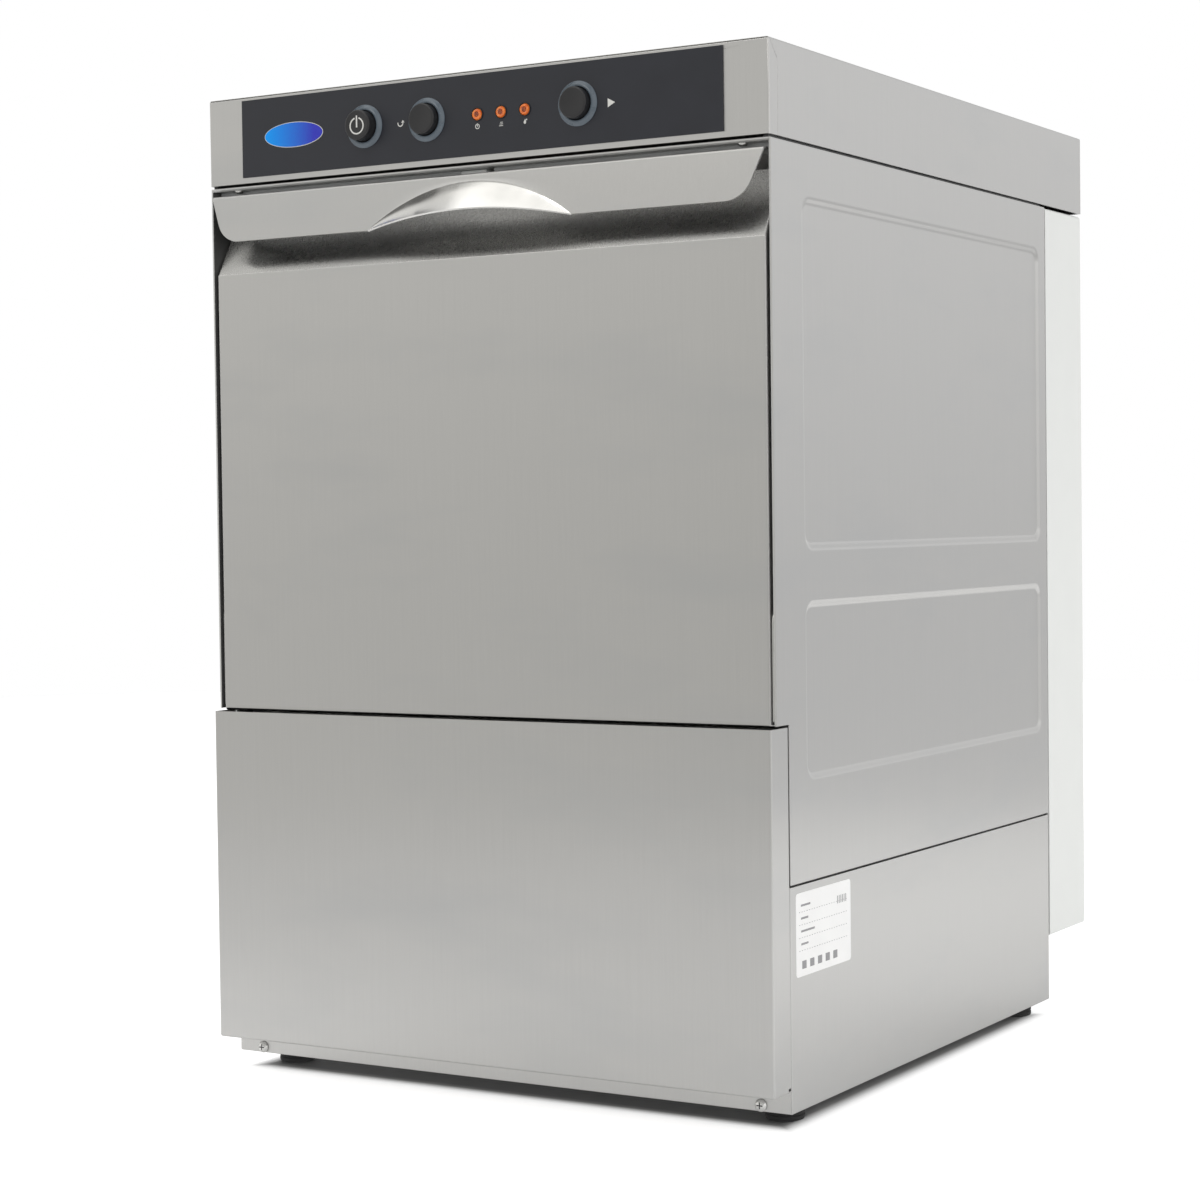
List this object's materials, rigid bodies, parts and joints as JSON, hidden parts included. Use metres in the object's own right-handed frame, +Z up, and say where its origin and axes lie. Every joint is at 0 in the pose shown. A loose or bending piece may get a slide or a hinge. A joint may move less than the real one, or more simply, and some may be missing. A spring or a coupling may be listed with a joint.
{
  "type": "glass washer",
  "caption": "Under-counter glass washer: stainless box with a control head, drop-down door with a full-width handle, kick panel and rear service cover.",
  "frame": {"origin": "bottom centre of the whole machine, on the floor under the middle of its box", "axes": "+X to the machine's right as seen from the front, -Y out of the front (door side), +Z up"},
  "size_m": [0.43, 0.5418, 0.6675],
  "materials": {
    "brushed_steel": "brushed, vertical grain",
    "polished_steel": "polished stainless",
    "white_paint": "satin off-white powder coat",
    "dark_film": "fine matt printed film",
    "blue_grey_plastic": "satin moulded",
    "black_plastic": "fine-textured moulded",
    "orange_lens": "clear orange moulded lens",
    "black_rubber": "matt",
    "blue_plastic": "satin polypropylene",
    "grey_plastic": "satin moulded",
    "cast_metal": "as cast",
    "green_board": "solder mask"
  },
  "bodies": {
    "cabinet": {"top_cover": "brushed_steel", "control_fascia": "brushed_steel", "control_overlay": "dark_film", "power_button_bezel": "blue_grey_plastic", "power_switch": "grey_plastic", "cycle_button_bezel": "blue_grey_plastic", "cycle_switch": "grey_plastic", "start_button_bezel": "blue_grey_plastic", "start_switch": "grey_plastic", "power_lamp": "orange_lens", "heating_lamp": "orange_lens", "cycle_lamp": "orange_lens", "control_board": "green_board", "dosing_pump": "blue_plastic", "pressure_switch": "grey_plastic", "wash_tank": "brushed_steel", "door_catch": "grey_plastic", "door_gasket": "black_rubber", "base_chassis": "brushed_steel", "foot_front_left": "black_rubber", "foot_front_right": "black_rubber", "foot_rear_left": "black_rubber", "foot_rear_right": "black_rubber", "kick_panel": "brushed_steel", "kick_screw_left": "polished_steel", "kick_screw_right": "polished_steel", "rear_cover": "white_paint", "inlet_valve": "grey_plastic", "drain_spigot": "grey_plastic", "cable_gland": "black_plastic", "hinge_pin_left": "polished_steel", "hinge_pin_right": "polished_steel", "lower_spindle": "grey_plastic", "upper_spindle": "grey_plastic", "lower_arm_nut": "blue_plastic", "upper_arm_nut": "blue_plastic", "riser_pipe": "grey_plastic", "tank_filter": "brushed_steel", "overflow_pipe": "grey_plastic", "tank_element": "cast_metal", "rack_rail_left": "brushed_steel", "rack_rail_right": "brushed_steel", "wash_pump": "cast_metal", "drain_pump": "grey_plastic", "boiler": "polished_steel"},
    "door": {"door_outer_skin": "brushed_steel", "door_inner_skin": "brushed_steel", "door_handle": "brushed_steel", "hinge_bracket_left": "polished_steel", "hinge_bracket_right": "polished_steel", "door_spring_left": "cast_metal", "door_spring_right": "cast_metal"},
    "power_button": {"power_button_cap": "black_plastic"},
    "cycle_button": {"cycle_button_cap": "black_plastic"},
    "start_button": {"start_button_cap": "black_plastic"},
    "lower_wash_spray": {"lower_wash_arm": "polished_steel"},
    "lower_rinse_spray": {"lower_rinse_arm": "polished_steel"},
    "upper_wash_spray": {"upper_wash_arm": "polished_steel"},
    "upper_rinse_spray": {"upper_rinse_arm": "polished_steel"},
    "rack": {"glass_rack": "blue_plastic"}
  },
  "joints": [
    {"name": "door_hinge", "type": "hinge", "parent": "cabinet", "child": "door", "pos_m": [0, -0.24855, 0.262], "axis": [1, 0, 0], "range_deg": [0, 90]},
    {"name": "power_press", "type": "slide", "parent": "cabinet", "child": "power_button", "axis": [0, 1, 0], "range_m": [0, 0.004], "stiffness_N_per_m": 400, "springref_m": -0.002},
    {"name": "cycle_press", "type": "slide", "parent": "cabinet", "child": "cycle_button", "axis": [0, 1, 0], "range_m": [0, 0.004], "stiffness_N_per_m": 400, "springref_m": -0.002},
    {"name": "start_press", "type": "slide", "parent": "cabinet", "child": "start_button", "axis": [0, 1, 0], "range_m": [0, 0.004], "stiffness_N_per_m": 400, "springref_m": -0.002},
    {"name": "lower_wash_spin", "type": "hinge", "parent": "cabinet", "child": "lower_wash_spray", "pos_m": [0, -0.01505, 0.2457], "axis": [0, 0, 1], "continuous": true},
    {"name": "lower_rinse_spin", "type": "hinge", "parent": "cabinet", "child": "lower_rinse_spray", "pos_m": [0, -0.01505, 0.2604], "axis": [0, 0, 1], "continuous": true},
    {"name": "upper_wash_spin", "type": "hinge", "parent": "cabinet", "child": "upper_wash_spray", "pos_m": [0, -0.01505, 0.5739], "axis": [0, 0, 1], "continuous": true},
    {"name": "upper_rinse_spin", "type": "hinge", "parent": "cabinet", "child": "upper_rinse_spray", "pos_m": [0, -0.01505, 0.5592], "axis": [0, 0, 1], "continuous": true},
    {"name": "rack_slide", "type": "slide", "parent": "cabinet", "child": "rack", "axis": [0, -1, 0], "range_m": [0, 0.032]}
  ]
}
